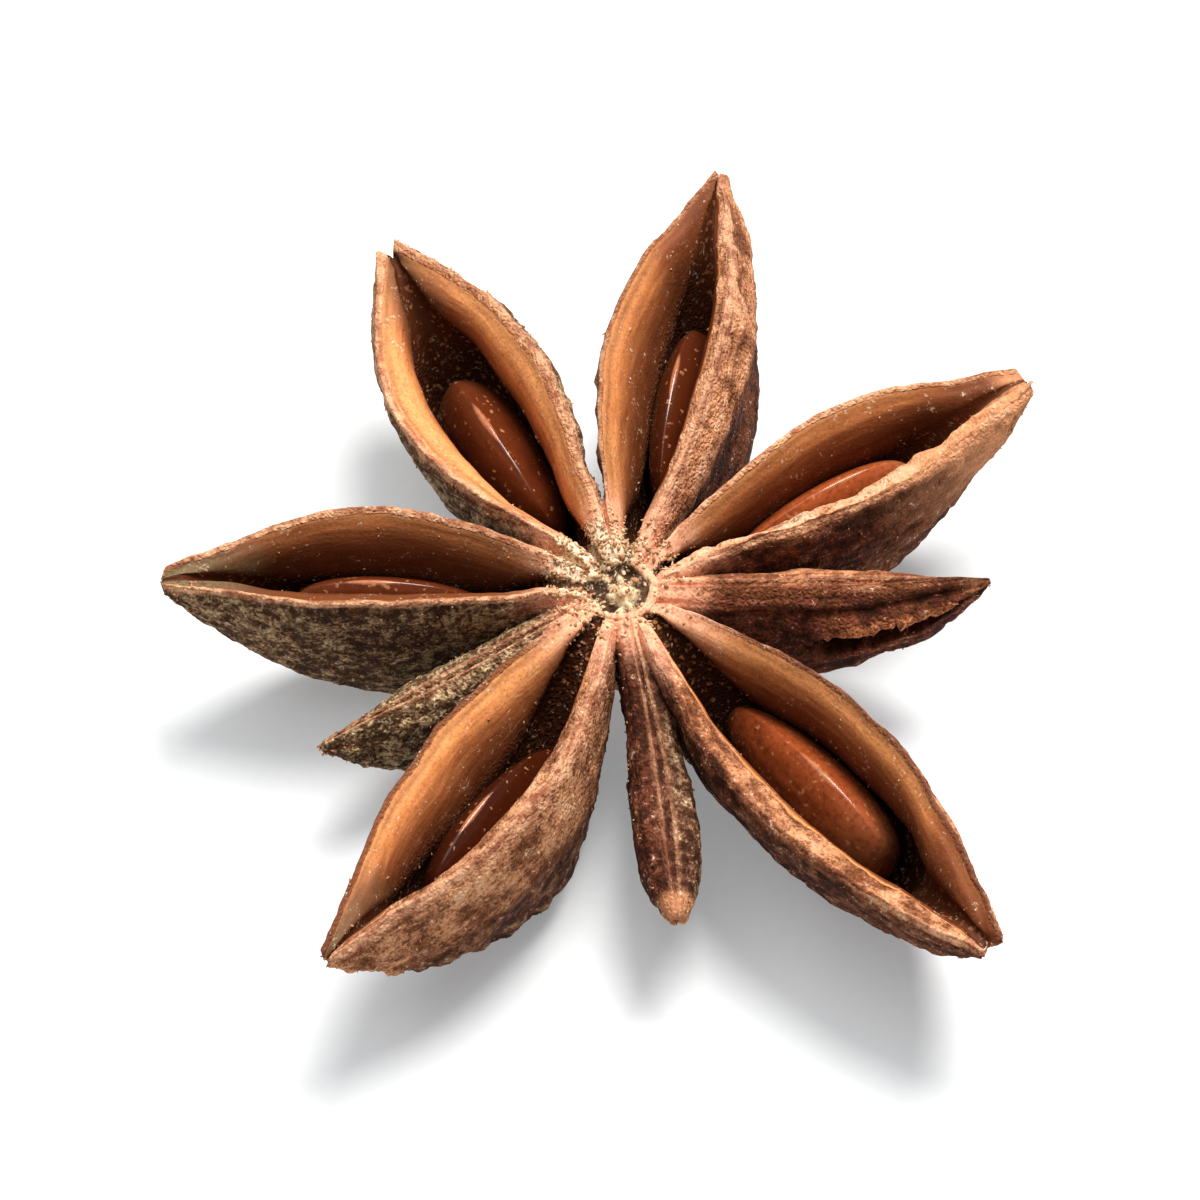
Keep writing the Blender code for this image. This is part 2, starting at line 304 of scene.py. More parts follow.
# The waves of a lip: height, length and seed of each.
WIDTH_WAVES = ((0.1, 1.9, 0), (0.045, 0.55, 5))
HEIGHT_WAVES = ((0.12, 2.3, 11), (0.05, 0.6, 17))
KNOB_HEIGHT, KNOB_PLACE, KNOB_REACH = 0.16, 1.9, 0.55  # the knuckle where a lip meets the column


def waver(carpel, side, t, waves):
    """How far a lip wanders at t."""
    place, seed = t * carpel.reach, carpel.heading + 40 * side
    uneven = sum(height * ripple(place / length, seed + shift) for height, length, shift in waves)
    return uneven * smooth(t / 0.12) * smooth((1 - t) / 0.05)


def lip_width(carpel, side, t):
    """Half width with the lip's own unevenness."""
    blunt = carpel.looks.blunt * smooth((t - 0.82) / 0.18)
    return half_width(carpel, t) + blunt + waver(carpel, side, t, WIDTH_WAVES)


def lip_height(carpel, side, t):
    """How far a lip stands over the crest."""
    return waver(carpel, side, t, HEIGHT_WAVES) + KNOB_HEIGHT * bell(t * carpel.reach, KNOB_PLACE, KNOB_REACH)


def valley(carpel, side, t):
    """How far the near shoulder of the east carpel has sunk beside its suture."""
    if carpel.name != "east" or side > 0:
        return 0.0
    return 0.24 * smooth((t - 0.08) / 0.22) * smooth((0.98 - t) / 0.12)


def shaded(looks, half, t):
    """How far in from a beam's edge the band carries the wall's painted shade at t."""
    return looks.shade[half] * smooth(t / 0.12) * smooth((0.92 - t) / 0.25)


def tear(t, share, place):
    """The rupture in the east carpel's near wall: how deep the wall falls in, how far its torn edge stands out,
    how deep the furrow between that edge and the top is."""
    furrow = bell(share, 0.09, 0.05) * smooth((t - 0.12) / 0.2) * smooth((0.97 - t) / 0.1)
    if not 0.45 < t < 0.95:
        return 0.0, 0.0, furrow
    long = math.sin(math.pi * (t - 0.45) / 0.5) ** 0.6
    centre = 0.32 + 0.03 * ripple(place / 0.5, 2)
    half = 0.065 * long + 0.035 * ripple(place / 0.3, 9)
    off = (share - centre) / max(half, 0.01)
    upper = bell(share, centre - half - 0.05, 0.055) * long * (0.85 + 0.6 * ripple(place / 0.35, 4))
    lower = bell(share, centre + half + 0.05, 0.05) * long
    return float(smooth((1.05 - abs(off)) / 0.3)), float(np.clip(upper, 0, 1.2)) + 0.6 * lower, furrow


def add_wall(section, side, shares):
    """One outer wall, at these shares from the lip to the keel."""
    carpel, t = section.carpel, section.t
    width, depth = lip_width(carpel, side, t), keel_depth(carpel, t)
    if carpel.name == "east":
        depth += TORN_FLAP * bell(t, 0.84, 0.1)
    belly = carpel.belly * leaf(t, carpel.widest_at) ** 0.7
    half, looks = 0 if side > 0 else 1, carpel.looks
    lip, edge_width = looks.lip[half], looks.edge[half]
    lip_round, shade = BEAM_ROUND if looks.cap[half] else THIN_ROUND, shaded(looks, half, t)
    full = smooth(t / 0.12) * smooth((1 - t) / 0.08)
    place = t * carpel.reach
    for share in shares:
        angle = share * math.pi / 2
        across = width * max(0.0, math.cos(angle)) ** 0.9 + belly * math.sin(2 * angle)
        down = depth * math.sin(angle) ** 1.1
        # Painted shade darkens the wall under the rounded lip, where it is partly the wall's own darker brown, and
        # all of the wall under a shaded beam.
        below = max(smooth((down / lip - 0.9) / 0.7), min(1.0, shade / 0.3))
        # The wall's painted light stays on the beam and leaves the shaded wall under it.
        fields = {"outside": share, "down": down, "below": below,
                  "near_edge": bell(down, 0, edge_width) * (1 - min(1.0, shade / 0.2)),
                  "light": looks.light * (1 - below) if looks.light > 0 else looks.light}
        if carpel.seed:
            # An open lip is a rounded beam that stands out from the wall under it.
            across -= lip_round * bell(down, 0, 0.2)
            across += full * looks.stand[half] * (bell(down, 0.9 * lip, 0.6 * lip) - bell(down, 2.1 * lip, 0.6 * lip))
            top = lip_height(carpel, side, t) * bell(down, 0, 1.2) + 0.1 * bell(down, 0, 0.25) * smooth(t / 0.1)
            top -= 0.5 * shade * bell(down, 0, 0.6)
        else:
            # A shut carpel has round shoulders, with painted shade where the east carpel's near shoulder has sunk.
            across -= 0.14 * bell(down, 0, 0.3)
            sunk = valley(carpel, side, t)
            top = -(0.2 + sunk) * bell(down, 0, 0.5)
            fields["near_edge"] = 0.0
            fields["below"] = max(below, min(1.0, 4 * sunk) * bell(down, 0, 0.6))
        if carpel.name == "east" and side < 0:
            fallen, edge, furrow = tear(t, share, place)
            across += 0.42 * edge - 0.3 * furrow - min(0.85, 0.8 * across) * fallen
            fields["torn"] = edge
            # Painted shade fills the hole where the torn wall falls in, and the furrow beside its torn edge.
            fields["dark"] = fallen
            fields["below"] = max(fields["below"] * (1 - 0.6 * edge), furrow)
        section.add(side * across, top - down, **fields)


def add_mouth(section, side, foot_first=False):
    """Half of an open mouth: the lip's rounded band, then the wall of the seed's chamber."""
    carpel, t = section.carpel, section.t
    looks, half = carpel.looks, 0 if side > 0 else 1
    width = lip_width(carpel, side, t)
    shut = 0.1 + (looks.gape - 0.1) * smooth((t - 0.85) / 0.15)
    closed = smooth((t - 0.93) / 0.05) if looks.gape < 0.1 else 0.0
    rim = min(RIM_LEAST + RIM_SHARE * max(0.0, width - STEM_HALF_WIDTH), width - shut)
    scoop = past_seed(carpel, t)
    # Past the seed the band on the far-reaching side covers most of the hollow.
    rim += scoop * max(0.0, 2.4 * (looks.foot[half] - 0.15) * (width - rim - 0.08))
    neck, depth = width - rim, hollow_depth(carpel, t) * (1 - 0.85 * closed)
    drop = looks.foot[half] * depth
    lip_round, shade = BEAM_ROUND if looks.cap[half] else THIN_ROUND, shaded(looks, half, t)
    points = []
    for share in BAND_STEPS:
        angle = share * math.pi / 2
        in_from_edge = max(rim - lip_round, 0.1) * math.sin(angle)
        ridge = bell(in_from_edge, 0, looks.edge[half])
        crease = bell(in_from_edge, looks.edge[half] + 0.17, 0.1)
        up = -drop * (1 - math.cos(angle)) + (0.1 * ridge - 0.05 * crease) * smooth(t / 0.1)
        up += lip_height(carpel, side, t) * bell(in_from_edge, 0, 0.9)
        below = 0.0
        # A shaded beam's outer strip carries the wall's painted shade.
        if shade > 0.02:
            up -= 0.5 * shade * (1 - smooth(in_from_edge / (1.3 * shade)))
            below = smooth((shade - in_from_edge) / 0.2 + 0.5)
        # A band under the wall's skin takes the wall's painted light, except on its shaded strip.
        fields = {"near_edge": ridge * (1 - below), "down": 0.3, "below": below, "light": looks.light * (1 - below)}
        # Past the cap the band takes its painted shade, which is a painted golden highlight where the value is under
        # 0.
        if share >= looks.cap[half]:
            fields = {"inside": share, "near_edge": ridge, "crease": crease, "scoop": scoop,
                      "dark": looks.dark[half], "pale": looks.pale_tip[0] * smooth((t - 0.92) / 0.06)}
        points.append((width - lip_round - in_from_edge, up, fields))
    swell = UNDERCUT * math.sqrt(leaf(t, carpel.widest_at)) * (1 - scoop)
    for k in range(1, CHAMBER_STEPS):
        share = k / CHAMBER_STEPS
        angle = share * math.pi / 2
        reach = neck + swell * smooth(share / 0.3)
        points.append((reach * math.cos(angle) ** 0.7, -drop - (depth - drop) * math.sin(angle),
                       {"inside": 1 + share, "scoop": scoop}))
    for across, up, fields in reversed(points) if foot_first else points:
        section.add(side * across, up, **fields)


def add_top(section, side, middle_first=False):
    """Half of the top of a shut carpel: the suture's two ridges with a furrow between them."""
    carpel, t = section.carpel, section.t
    width = lip_width(carpel, side, t) - 0.14
    line = min(0.2, 0.25 * width)
    sunk = valley(carpel, side, t)
    points = []
    for k in range(1, TOP_STEPS):
        across = width * (1 - k / TOP_STEPS)
        up = -0.2 * (across / max(width, 0.01)) ** 4
        ridge = math.exp(-(((across - line) / (0.45 * line)) ** 2))
        up += (0.13 * ridge - 0.12 * math.exp(-((across / (0.4 * line)) ** 2))) * smooth((1 - t) / 0.1)
        aside = smooth((across - 0.28) / 0.25)
        # Painted shade lies on the sunk shoulder.
        points.append((across, up - sunk * aside, {"suture": ridge, "below": min(1.0, 4 * sunk) * aside}))
    for across, up, fields in reversed(points) if middle_first else points:
        section.add(side * across, up, **fields)


def section_at(carpel, t):
    """The whole outline at t."""
    section = Section(carpel, t)
    shares = [(k / OUTER_STEPS) ** 1.35 for k in range(OUTER_STEPS + 1)]
    add_wall(section, 1, shares[::-1])
    if carpel.seed:
        add_mouth(section, 1)
        section.add(0.0, -hollow_depth(carpel, t), inside=2.0, scoop=past_seed(carpel, t))
        add_mouth(section, -1, foot_first=True)
    else:
        add_top(section, 1)
        section.add(0.0, -0.15 * smooth((1 - t) / 0.1), suture=0.0)
        add_top(section, -1, middle_first=True)
    add_wall(section, -1, shares[:-1])
    return section


def in_frame(carpel, section, outward=0.0, scale=1.0):
    """A section's points in the carpel's own frame: x outwards from the column, y to the left, z up."""
    t = section.t
    across, up = np.array(section.across), np.array(section.up)
    middle = -0.45 * carpel.beak
    across, up = across * scale, middle + (up - middle) * scale
    x = CARPEL_START + (carpel.reach - CARPEL_START) * t + outward
    if carpel.looks.notch:
        inner = np.clip(1 - np.abs(across) / max(half_width(carpel, t), 0.01), 0, 1)
        x = x - carpel.looks.notch * inner * smooth((t - 0.9) / 0.1)
    turn = roll_at(carpel, t)
    y = carpel.bend * math.sin(math.pi * t) + across * math.cos(turn) - up * math.sin(turn)
    z = crest(carpel, t) + across * math.sin(turn) + up * math.cos(turn)
    return np.stack([x + 0 * y, y, z], 1)


def carpel_rings(carpel):
    """(section, points) of each ring along the carpel, with a few more that round off its tip."""
    count = OPEN_STATIONS if carpel.seed else SHUT_STATIONS
    rings = []
    for k in range(count):
        even = k / (count - 1)
        t = 0.55 * even + 0.45 * (0.5 - 0.5 * math.cos(math.pi * even))
        section = section_at(carpel, t)
        rings.append((section, in_frame(carpel, section)))
    for k in range(1, TIP_STEPS + 1):
        angle = k / (TIP_STEPS + 0.6) * math.pi / 2
        rings.append((section, in_frame(carpel, section, 0.6 * carpel.tip * math.sin(angle), math.cos(angle))))
    return rings


def placed(carpel):
    """The matrix from the carpel's frame to the pod's."""
    turn = Matrix.Rotation(math.radians(carpel.heading), 4, "Z")
    return Matrix.Translation((*HUB, LIP_HEIGHT)) @ turn


# ---------------------------------------------------------------- meshes


def linked(name, data):
    """A new object in the scene."""
    made = bpy.data.objects.new(name, data)
    bpy.context.scene.collection.objects.link(made)
    return made


def mesh_object(name, points, faces, fields=None, grain=None):
    """An object whose points are given in mm, with one float attribute for each field."""
    data = bpy.data.meshes.new(name)
    data.from_pydata((np.asarray(points) * MM).tolist(), [], faces)
    if fields is not None:
        set_fields(data, fields, grain)
    data.shade_smooth()
    return linked(name, data)


def set_numbers(data, **numbers):
    """Gives each point a number under each of these names."""
    for name, values in numbers.items():
        made = data.attributes.get(name) or data.attributes.new(name, "FLOAT", "POINT")
        made.data.foreach_set("value", np.asarray(values, np.float32))


def set_grain(data, grain):
    """Gives each point its place along and across the skin's fibres."""
    made = data.attributes.get("grain") or data.attributes.new("grain", "FLOAT_VECTOR", "POINT")
    made.data.foreach_set("vector", np.asarray(grain, np.float32).ravel())


def set_fields(data, fields, grain):
    set_numbers(data, **dict(zip(FIELDS, np.asarray(fields).T)))
    set_grain(data, grain)


def values_of(data, name):
    values = np.zeros(len(data.vertices), np.float32)
    data.attributes[name].data.foreach_get("value", values)
    return values.astype(float)


def vectors_of(collection, name):
    values = np.zeros(len(collection) * 3, np.float32)
    collection.foreach_get(name, values)
    return values.reshape(-1, 3).astype(float)


def transform(matrix, points):
    matrix = np.array(matrix)
    return points @ matrix[:3, :3].T + matrix[:3, 3]


def carpel_object(index, carpel):
    rings = carpel_rings(carpel)
    count = len(rings[0][1])
    points, fields, grain = [], [], []
    left, right = OUTER_STEPS, count - OUTER_STEPS
    for section, ring in rings:
        steps = np.linalg.norm(np.diff(ring, axis=0), axis=1)
        around = np.concatenate([[0.0], np.cumsum(steps)])
        middle = (left + right) // 2
        # Distance from the nearer lip, over the wall above 0 and in the mouth below it.
        from_lip = np.where(np.arange(count) < middle, around[left] - around, around - around[right])
        side = np.interp(np.arange(count), (0, left, middle, right, count - 1), (0, 1, 0, -1, 0))
        points.append(ring)
        fields.append(section.fields)
        grain.append(np.stack([section.t * carpel.reach + 0 * around, from_lip, 2.2 * side + 9.7 * index], 1))
    faces = []
    for k in range(len(rings) - 1):
        near, far = k * count, (k + 1) * count
        for j in range(count):
            after = (j + 1) % count
            faces.append((near + j, near + after, far + after, far + j))
    faces.append(tuple(range(count))[::-1])
    faces.append(tuple(range((len(rings) - 1) * count, len(rings) * count)))
    points = transform(placed(carpel), np.concatenate(points))
    return mesh_object("carpel_" + carpel.name, points, faces, np.concatenate(fields), np.concatenate(grain))


def hub_object():
    """The column, turned: a dished disc with a small boss on top, the stalk's scar underneath."""
    top, foot = -HUB_DIP, -HUB_FOOT
    corners = [(0.0, top - 0.05), (0.5, top - 0.08), (0.8, top - 0.02), (1.05, top + 0.1), (HUB_RADIUS, top + 0.12),
               (HUB_RADIUS + 0.05, top - 1.2), (SCAR_RADIUS + 0.2, foot + 0.5), (SCAR_RADIUS, foot),
               (SCAR_RADIUS - 0.35, foot), (0.0, foot + 0.3)]
    corners = np.array(corners)
    place = np.concatenate([[0], np.cumsum(np.linalg.norm(np.diff(corners, axis=0), axis=1))])
    spread = np.linspace(0, place[-1], 3 * HUB_RINGS)
    radius, height = np.interp(spread, place, corners[:, 0]), np.interp(spread, place, corners[:, 1])
    points, fields = [(0.0, 0.0, height[0])], []
    for r, z in zip(radius[1:-1], height[1:-1]):
        for k in range(HUB_SEGMENTS):
            angle = 2 * math.pi * k / HUB_SEGMENTS
            points.append((r * math.cos(angle), r * math.sin(angle), z))
    points.append((0.0, 0.0, height[-1]))
    faces, last = [], len(points) - 1
    for k in range(HUB_SEGMENTS):
        after = (k + 1) % HUB_SEGMENTS
        faces.append((0, 1 + k, 1 + after))
        faces.append((last, last - HUB_SEGMENTS + after, last - HUB_SEGMENTS + k))
        for ring in range(len(radius) - 3):
            start = 1 + ring * HUB_SEGMENTS
            faces.append((start + k, start + HUB_SEGMENTS + k, start + HUB_SEGMENTS + after, start + after))
    points = np.array(points)
    for point in points:
        row = dict.fromkeys(FIELDS, 0.0)
        row.update(made=1.0, hub=1.0, green=0.5, outside=0.5, wrinkles=0.05)
        fields.append([row[name] for name in FIELDS])
    return mesh_object("column", points + (*HUB, LIP_HEIGHT), faces, fields, points + (0, 0, 90.0))


def joined(column, carpels):
    """The column and the carpels as one closed skin."""
    group = bpy.data.collections.new("carpels")
    for piece in carpels:
        bpy.context.scene.collection.objects.unlink(piece)
        group.objects.link(piece)
    join = column.modifiers.new("join", "BOOLEAN")
    join.operation = "UNION"
    join.operand_type = "COLLECTION"
    join.collection = group
    join.solver = "MANIFOLD"
    bpy.context.view_layer.update()
    skin = bpy.data.meshes.new_from_object(column.evaluated_get(bpy.context.evaluated_depsgraph_get()))
    for piece in [column, *carpels]:
        bpy.data.objects.remove(piece)
    bpy.data.collections.remove(group)
    return skin


def fill_seams(skin):
    """Points that the join made along the seams take their fields from the nearest other point."""
    made = values_of(skin, "made")
    known = np.flatnonzero(made > 0.99)
    places = vectors_of(skin.vertices, "co")
    tree = kdtree.KDTree(len(known))
    for k in known:
        tree.insert(places[k], int(k))
    tree.balance()
    source = np.arange(len(made))
    for k in np.flatnonzero(made <= 0.99):
        source[k] = tree.find(places[k])[1]
    fields = np.stack([values_of(skin, name) for name in FIELDS], 1)[source]
    grain = vectors_of(skin.attributes["grain"].data, "vector")[source]
    set_fields(skin, fields, grain)
    return dict(zip(FIELDS, fields.T)), grain


# ---------------------------------------------------------------- relief


def noise_at(places, size, shift=0.0):
    """Noise from -1 to 1 at these places, with lumps of about this size."""
    return np.array([noise.noise(Vector(p) / size + Vector((shift, shift, shift))) for p in places])


def cells_at(places, size, shift=0.0):
    """Rounded grains of about this size: 1 at their tops, 0 in the cracks between them."""
    found = np.array([noise.voronoi(Vector(p) / size + Vector((shift, 0, 0)))[0][:2] for p in places])
    return np.clip(found[:, 1] - found[:, 0], 0, 1)


def relief(places, f, grain):
    """How far each point moves out of the skin, in mm."""
    inner = smooth(f["inside"] / 0.08)
    wall = smooth(f["down"] / 0.4) * (1 - f["hub"]) * (1 - inner) * (0.25 + 0.75 * smooth(f["along"] / 0.2))
    from_hub = np.hypot(places[:, 0] - HUB[0], places[:, 1] - HUB[1])
    above = places[:, 2] > LIP_HEIGHT - 1.5
    towards = np.arctan2(places[:, 1] - HUB[1], places[:, 0] - HUB[0]) - math.radians(DUST_HEADING)
    f["drifted"] = (0.5 + 0.5 * np.cos(towards)) ** 1.5
    uneven = 1.14 + 0.48 * f["drifted"] + 0.28 * noise_at(places * (1, 1, 0), 0.7, 40.0)
    f["crumbly"] = smooth((uneven - from_hub) / 0.35) * above
    fold = 1 - 2 * np.abs(noise_at(grain * (0.45, 1.0, 1.0), 0.75))
    coarse = noise_at(grain * (0.62, 1.0, 1.0), 1.6, 4.0)
    fine = noise_at(places, 0.33, 9.0)
    grains = cells_at(places, 0.34)
    out = wall * f["wrinkles"] * (0.9 * (fold - 0.4) + 1.1 * coarse)
    out += wall * (0.05 * fine + f["green"] * 0.11 * (grains - 0.35))
    # Lumps stand along the keel and scallop the outline.
    bump = smooth(0.5 + 0.9 * noise_at(grain * (1.0, 0.35, 1.0), 0.6, 2.0))
    out += wall * f["lumps"] * smooth((f["outside"] - 0.3) / 0.35) * (bump - 0.5)
    # Folds run across some lips.
    rungs = 1 - 2 * np.abs(noise_at(grain * (1.0, 0.25, 1.0), 0.42, 15.0))
    out += f["ladder"] * smooth(f["down"] / 0.15) * smooth((1.6 - f["down"]) / 0.8) * rungs * (1 - inner)
    # The band ripples a little along its length, and the chamber is grainy.
    out += inner * smooth((1 - f["inside"]) / 0.3) * 0.03 * noise_at(grain * (0.3, 1.0, 1.0), 0.6, 6.0)
    out += smooth((f["inside"] - 0.85) / 0.2) * (1 - f["scoop"]) * 0.07 * (grains - 0.4)
    # A torn edge is ragged.
    out += f["torn"] * (0.16 * noise_at(grain, 0.24, 12.0) + 0.1 * fine)
    # The column's top, and the carpels' ends beside it, are granular.
    flat = places * (1, 1, 0.4)
    rough = 0.34 * (cells_at(flat, 0.46, 5.0) - 0.4) + 0.16 * fine + 0.3 * noise_at(flat, 0.62, 31.0)
    boss = np.hypot(places[:, 0] - HUB[0] - BOSS[0], places[:, 1] - HUB[1] - BOSS[1])
    out += f["crumbly"] * (rough + f["hub"] * (0.42 * bell(boss, 0, 0.42) - 0.15 * bell(from_hub, 0.78, 0.2)))
    out += f["near_edge"] * (1 - f["hub"]) * 0.04 * noise_at(places, 0.28, 21.0)
    # Dust lies beside the column, mostly towards the north-west.
    f["dusty"] = smooth((1.7 + 1.9 * f["drifted"] - from_hub) / 1.7) * f["drifted"] * above
    f["dusty"] *= 1 - 0.8 * f["hub"]
    out += f["dusty"] * 0.12 * (grains - 0.3)
    return out


def husk_mesh():
    """The whole husk as one skin with its relief: its mesh, its points in mm, their normals and fields."""
    skin = joined(hub_object(), [carpel_object(k, carpel) for k, carpel in enumerate(CARPELS)])
    f, grain = fill_seams(skin)
    places = vectors_of(skin.vertices, "co") / MM
    normals = vectors_of(skin.vertices, "normal")
    out = relief(places, f, grain)
    moved = places + normals * out[:, None]
    # The pod rests on the table.
    moved[:, 2] = np.maximum(moved[:, 2], 0.0)
    skin.vertices.foreach_set("co", (moved * MM).astype(np.float32).ravel())
    set_numbers(skin, relief=out, crumbly=f["crumbly"], dusty=f["dusty"])
    skin.shade_smooth()
    skin.update()
    return skin, moved, normals, f


def crumbs_object(moved, normals, f):
    """Dust and fibres torn to grains: thick round the column and on the bloom, thin elsewhere."""
    rng = np.random.default_rng(CRUMB_SEED)
    from_hub = np.hypot(moved[:, 0] - HUB[0], moved[:, 1] - HUB[1])
    high = smooth((moved[:, 2] - 3.0) / 2.0)
    foot = bell(f["inside"], 1.05, 0.1) * (1 - f["scoop"]) * (f["along"] > 0.1)
    drifted = 0.08 + 0.92 * f["drifted"]
    dusty = (10.0 * bell(from_hub, 1.7 + 0.7 * drifted, 0.75) * high * drifted,
             1.1 * f["green"] * (f["outside"] > 0.02), 1.4 * foot,
             0.2 * (f["outside"] > 0.05) * high + 0.15 * (f["inside"] > 0.3) * (f["inside"] < 1))
    weight = sum(dusty) * (moved[:, 2] > 0.4)
    picked = rng.choice(len(moved), CRUMBS, replace=False, p=weight / weight.sum())
    grit = bmesh.new()
    bmesh.ops.create_icosphere(grit, subdivisions=1, radius=1.0)
    ball = np.array([v.co for v in grit.verts])
    ball_faces = np.array([[v.index for v in face.verts] for face in grit.faces])
    grit.free()
    points, faces, shades = [], [], []
    for number, k in enumerate(picked):
        near = from_hub[k] < 2.8 and moved[k, 2] > LIP_HEIGHT - 2.5
        size = rng.uniform(*(NEAR_CRUMB if near else FAR_CRUMB))
        stretch = np.array([rng.uniform(0.8, 2.4), rng.uniform(0.6, 1.2), rng.uniform(0.4, 0.8)]) * size
        turn = np.array(Euler(rng.uniform(0, 2 * math.pi, 3)).to_matrix())
        rough = ball * rng.uniform(0.65, 1.25, (len(ball), 1))
        points.append(rough * stretch @ turn.T + moved[k] + normals[k] * 0.2 * size)
        faces.append(ball_faces + number * len(ball))
        shades.append(np.full(len(ball), rng.uniform(0, 0.6) + rng.uniform(0, 0.4) * near))
    made = mesh_object("crumbs", np.concatenate(points), np.concatenate(faces).tolist())
    set_numbers(made.data, shade=np.concatenate(shades))
    return made


def seed_object(carpel):
    """A flat bean on its edge, blunt at its outer end, with a fine ridge along the top."""
    seed = carpel.seed
    segments, rings = 96, 72
    points = []
    for ring in range(1, rings):
        slope = math.pi * ring / rings
        along = -math.cos(slope)
        size = math.sin(slope) ** (0.7 if along > 0 else 0.85)
        for k in range(segments):
            angle = 2 * math.pi * k / segments
            across, up = math.cos(angle), math.sin(angle)
            full = size * (1 + 0.16 * along)
            pinch = 1 - 0.4 * max(0.0, up) ** 2 - 0.15 * max(0.0, -up) ** 2
            keel = 0.05 * math.exp(-((across / 0.12) ** 2)) * (up > 0)
            points.append((0.5 * seed.length * along, 0.5 * seed.thickness * across * full * pinch * 1.12,
                           0.5 * seed.height * up * full + keel * size))
    points.insert(0, (-0.5 * seed.length, 0, 0))
    points.append((0.5 * seed.length, 0, 0))
    points = np.array(points)
    last = len(points) - 1
    faces = []
    for k in range(segments):
        after = (k + 1) % segments
        faces.append((0, 1 + after, 1 + k))
        faces.append((last, last - segments + k, last - segments + after))
        for ring in range(rings - 2):
            start = 1 + ring * segments
            faces.append((start + k, start + after, start + segments + after, start + segments + k))
    x = CARPEL_START + (carpel.reach - CARPEL_START) * seed.at
    y = carpel.bend * math.sin(math.pi * seed.at)
    matrix = placed(carpel) @ Matrix.Translation((x, y, crest(carpel, seed.at)))
    matrix = matrix @ Matrix.Rotation(roll_at(carpel, seed.at), 4, "X")
    matrix = matrix @ Matrix.Translation((0, seed.aside, -(seed.top + seed.height / 2)))
    matrix = matrix @ Matrix.Rotation(-math.radians(seed.lean), 4, "X")
    made = mesh_object("glossy_seed_" + carpel.name, transform(matrix, points), faces)
    # Height share, darkening and outer end, by which the seed's material paints its light, shade and sheen.
    set_numbers(made.data, ridge=points[:, 2] / seed.height + 0.5, dark=np.full(len(points), seed.dark),
                outer=smooth((points[:, 0] / seed.length - 0.15) / 0.35))
    set_grain(made.data, points)
    return made


# ---------------------------------------------------------------- materials


class Paint:
    """A material's node tree, with short names for the nodes that it uses."""

    def __init__(self, name):
        self.material = bpy.data.materials.new(name)
        self.material.use_nodes = True
        self.tree = self.material.node_tree
        self.shader = self.tree.nodes["Principled BSDF"]

    def node(self, kind, inputs=None, **settings):
        made = self.tree.nodes.new("ShaderNode" + kind)
        for key, value in settings.items():
            setattr(made, key, value)
        for key, value in (inputs or {}).items():
            self.put(made.inputs[key], value)
        return made

    def put(self, socket, value):
        if isinstance(value, bpy.types.NodeSocket):
            self.tree.links.new(value, socket)
        elif socket.type == "RGBA":
            socket.default_value = (*value, 1)
        else:
            socket.default_value = value

    def field(self, name):
        return self.node("Attribute", attribute_name=name).outputs["Fac"]

    def vector(self, name):
        return self.node("Attribute", attribute_name=name).outputs["Vector"]

    def places(self):
        """The place on the object in mm."""
        source = self.node("TexCoord").outputs["Object"]
        return self.node("VectorMath", {0: source, "Scale": 1 / MM}, operation="SCALE").outputs[0]

    def stretch(self, vector, factors):
        return self.node("VectorMath", {0: vector, 1: factors}, operation="MULTIPLY").outputs[0]

    def noise(self, vector, size, detail=3.0, rough=0.55):
        """Noise from about 0 to 1 with lumps of this size."""
        inputs = {"Vector": vector, "Scale": 1 / size, "Detail": detail, "Roughness": rough}
        return self.node("TexNoise", inputs).outputs["Fac"]

    def cracks(self, vector, size):
        """0 in the cracks between grains of this size, rising to their tops."""
        inputs = {"Vector": vector, "Scale": 1 / size}
        return self.node("TexVoronoi", inputs, feature="DISTANCE_TO_EDGE").outputs["Distance"]

    def spots(self, vector, size):
        """A random number from 0 to 1 for each grain of this size."""
        inputs = {"Vector": vector, "Scale": 1 / size}
        colour = self.node("TexVoronoi", inputs).outputs["Color"]
        return self.node("SeparateColor", {0: colour}).outputs[0]

    def step(self, value, low, high):
        """0 under low and 1 over high, smooth between."""
        inputs = {"Value": value, "From Min": low, "From Max": high}
        return self.node("MapRange", inputs, interpolation_type="SMOOTHSTEP").outputs[0]

    def math(self, operation, first, second=0.0):
        return self.node("Math", {0: first, 1: second}, operation=operation).outputs[0]

    def times(self, first, second):
        return self.math("MULTIPLY", first, second)

    def plus(self, first, second):
        return self.math("ADD", first, second)

    def blend(self, *parts):
        """The sum of these values, each times its share."""
        total, *others = [self.times(value, share) for value, share in parts]
        for other in others:
            total = self.plus(total, other)
        return total

    def stir(self, value, noise, by):
        """The value, moved up and down by noise."""
        return self.plus(value, self.times(self.plus(noise, -0.5), by))

    def mix(self, factor, first, second):
        """Colour first where factor is 0, second where it is 1."""
        made = self.node("Mix", data_type="RGBA")
        self.put(made.inputs[0], factor)
        self.put(made.inputs[6], first)
        self.put(made.inputs[7], second)
        return made.outputs[2]

    def bump(self, height, distance, strength=1.0, under=None):
        inputs = {"Height": height, "Distance": distance * MM, "Strength": strength}
        made = self.node("Bump", inputs)
        if under:
            self.put(made.inputs["Normal"], under)
        return made.outputs[0]

    def set(self, **sockets):
        for name, value in sockets.items():
            self.put(self.shader.inputs[name.replace("_", " ")], value)


